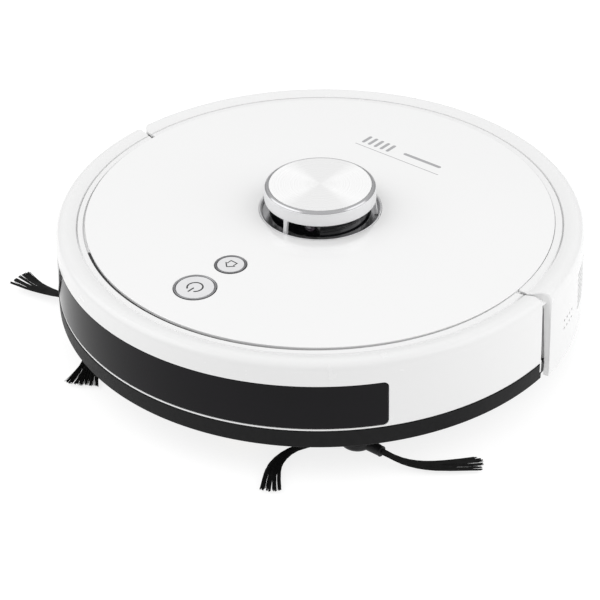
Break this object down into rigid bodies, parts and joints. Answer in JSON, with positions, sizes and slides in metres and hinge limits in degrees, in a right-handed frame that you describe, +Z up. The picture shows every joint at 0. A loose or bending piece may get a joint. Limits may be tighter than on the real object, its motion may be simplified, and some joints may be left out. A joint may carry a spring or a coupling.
{
  "type": "robot vacuum",
  "caption": "Round robot vacuum with a laser turret, sprung front bumper, drive wheels on swing arms, caster, roller brush, spinning side brushes and rear slide-out dust bin.",
  "frame": {"origin": "centre of the body on the floor it stands on, which is also the middle of the base of the box round the part", "axes": "+Z up, -Y forwards (the bumper's side), +X towards the right of a person who faces the bumper"},
  "size_m": [0.3531, 0.3337, 0.095],
  "materials": {
    "white": "gloss",
    "plate": "gloss",
    "smoked": "gloss",
    "strip": "satin",
    "chassis": "matte",
    "frame": "matte",
    "aluminium": "satin",
    "turret": "satin",
    "lens": "gloss",
    "steel": "satin",
    "button": "satin",
    "ring": "satin",
    "board": "satin",
    "rubber": "matte",
    "bristle": "matte",
    "hub": "satin",
    "battery": "satin",
    "bin": "gloss",
    "filter": "matte",
    "brass": "satin",
    "blade": "matte"
  },
  "bodies": {
    "main_body": {"base_chassis": "chassis", "mid_frame": "frame", "top_cover": "white", "top_plate": "plate", "lidar_base": "turret", "lidar_cap": "aluminium", "lidar_top_disc": "aluminium", "lidar_motor": "steel", "lidar_belt": "rubber", "power_ring": "ring", "home_ring": "ring", "button_board": "board", "brush_housing": "frame", "brush_guard": "frame", "brush_gearbox": "frame", "brush_motor": "steel", "side_motor_R": "frame", "side_motor_L": "frame", "battery": "battery", "battery_cover": "chassis", "main_board": "board", "charge_contact_R": "brass", "charge_contact_L": "brass", "cliff_sensor_R": "lens", "cliff_sensor_L": "lens", "fan_housing": "frame"},
    "bumper": {"bumper": "white", "bumper_window": "smoked", "bumper_strip": "strip"},
    "lidar_rotor": {"lidar_rotor": "turret", "lidar_lens_emitter": "lens", "lidar_lens_receiver": "lens"},
    "lidar_pulley": {"lidar_pulley": "hub"},
    "power_button": {"power_button": "button"},
    "home_button": {"home_button": "button"},
    "drive_arm_L": {"drive_arm_L": "frame", "drive_motor_L": "steel"},
    "drive_arm_R": {"drive_arm_R": "frame", "drive_motor_R": "steel"},
    "wheel_L": {"wheel_hub_L": "hub", "tyre_L": "rubber"},
    "wheel_R": {"wheel_hub_R": "hub", "tyre_R": "rubber"},
    "caster_fork": {"caster_fork": "hub"},
    "caster_wheel": {"caster_wheel": "rubber"},
    "main_brush": {"main_brush": "blade"},
    "side_brush_L": {"side_hub_L": "hub", "side_tuft_L1": "bristle", "side_tuft_L2": "bristle", "side_tuft_L3": "bristle"},
    "side_brush_R": {"side_hub_R": "hub", "side_tuft_R1": "bristle", "side_tuft_R2": "bristle", "side_tuft_R3": "bristle"},
    "dust_bin": {"dustbin": "bin", "bin_lid": "bin", "bin_filter": "filter", "bin_panel": "white"},
    "bin_latch": {"bin_latch": "button"},
    "fan_impeller": {"fan_impeller": "bin"}
  },
  "joints": [
    {"name": "bumper_travel", "type": "slide", "parent": "main_body", "child": "bumper", "axis": [0, 1, 0], "range_m": [0, 0.0015], "stiffness_N_per_m": 900, "springref_m": -0.002},
    {"name": "turret_spin", "type": "hinge", "parent": "main_body", "child": "lidar_rotor", "pos_m": [0, 0.001, 0.051], "axis": [0, 0, 1], "continuous": true},
    {"name": "turret_pulley_spin", "type": "hinge", "parent": "main_body", "child": "lidar_pulley", "pos_m": [0.056, 0.001, 0.054], "axis": [0, 0, 1], "continuous": true},
    {"name": "power_press", "type": "slide", "parent": "main_body", "child": "power_button", "axis": [0, 0, -1], "range_m": [0, 0.0006], "stiffness_N_per_m": 1500, "springref_m": -0.0004},
    {"name": "home_press", "type": "slide", "parent": "main_body", "child": "home_button", "axis": [0, 0, -1], "range_m": [0, 0.0006], "stiffness_N_per_m": 1500, "springref_m": -0.0004},
    {"name": "suspension_L", "type": "hinge", "parent": "main_body", "child": "drive_arm_L", "pos_m": [-0.097, -0.034, 0.024], "axis": [1, 0, 0], "range_deg": [-20, 0], "stiffness_Nm_per_rad": 0.4, "springref_deg": -28.65},
    {"name": "wheel_spin_L", "type": "hinge", "parent": "drive_arm_L", "child": "wheel_L", "pos_m": [-0.115, 0.005, 0.034], "axis": [1, 0, 0], "continuous": true},
    {"name": "suspension_R", "type": "hinge", "parent": "main_body", "child": "drive_arm_R", "pos_m": [0.097, -0.034, 0.024], "axis": [1, 0, 0], "range_deg": [-20, 0], "stiffness_Nm_per_rad": 0.4, "springref_deg": -28.65},
    {"name": "wheel_spin_R", "type": "hinge", "parent": "drive_arm_R", "child": "wheel_R", "pos_m": [0.115, 0.005, 0.034], "axis": [1, 0, 0], "continuous": true},
    {"name": "caster_swivel", "type": "hinge", "parent": "main_body", "child": "caster_fork", "pos_m": [0, -0.12, 0.03], "axis": [0, 0, 1], "continuous": true},
    {"name": "caster_roll", "type": "hinge", "parent": "caster_fork", "child": "caster_wheel", "pos_m": [0, -0.116, 0.013], "axis": [1, 0, 0], "continuous": true},
    {"name": "main_brush_spin", "type": "hinge", "parent": "main_body", "child": "main_brush", "pos_m": [0, 0.03, 0.0175], "axis": [1, 0, 0], "continuous": true},
    {"name": "side_brush_spin_L", "type": "hinge", "parent": "main_body", "child": "side_brush_L", "pos_m": [-0.106, -0.095, 0.01], "axis": [0, 0, 1], "continuous": true},
    {"name": "side_brush_spin_R", "type": "hinge", "parent": "main_body", "child": "side_brush_R", "pos_m": [0.106, -0.095, 0.01], "axis": [0, 0, 1], "continuous": true},
    {"name": "bin_slide", "type": "slide", "parent": "main_body", "child": "dust_bin", "axis": [0, 1, 0], "range_m": [0, 0.11]},
    {"name": "bin_latch_press", "type": "slide", "parent": "dust_bin", "child": "bin_latch", "axis": [0, -1, 0], "range_m": [0, 0.0014], "stiffness_N_per_m": 1200, "springref_m": -0.0004},
    {"name": "impeller_spin", "type": "hinge", "parent": "main_body", "child": "fan_impeller", "pos_m": [0.103, 0.084, 0.034], "axis": [0, 0, 1], "continuous": true}
  ],
  "couplings": [
    {"joint": "turret_pulley_spin", "follows": "turret_spin", "ratio": 3.7778}
  ]
}
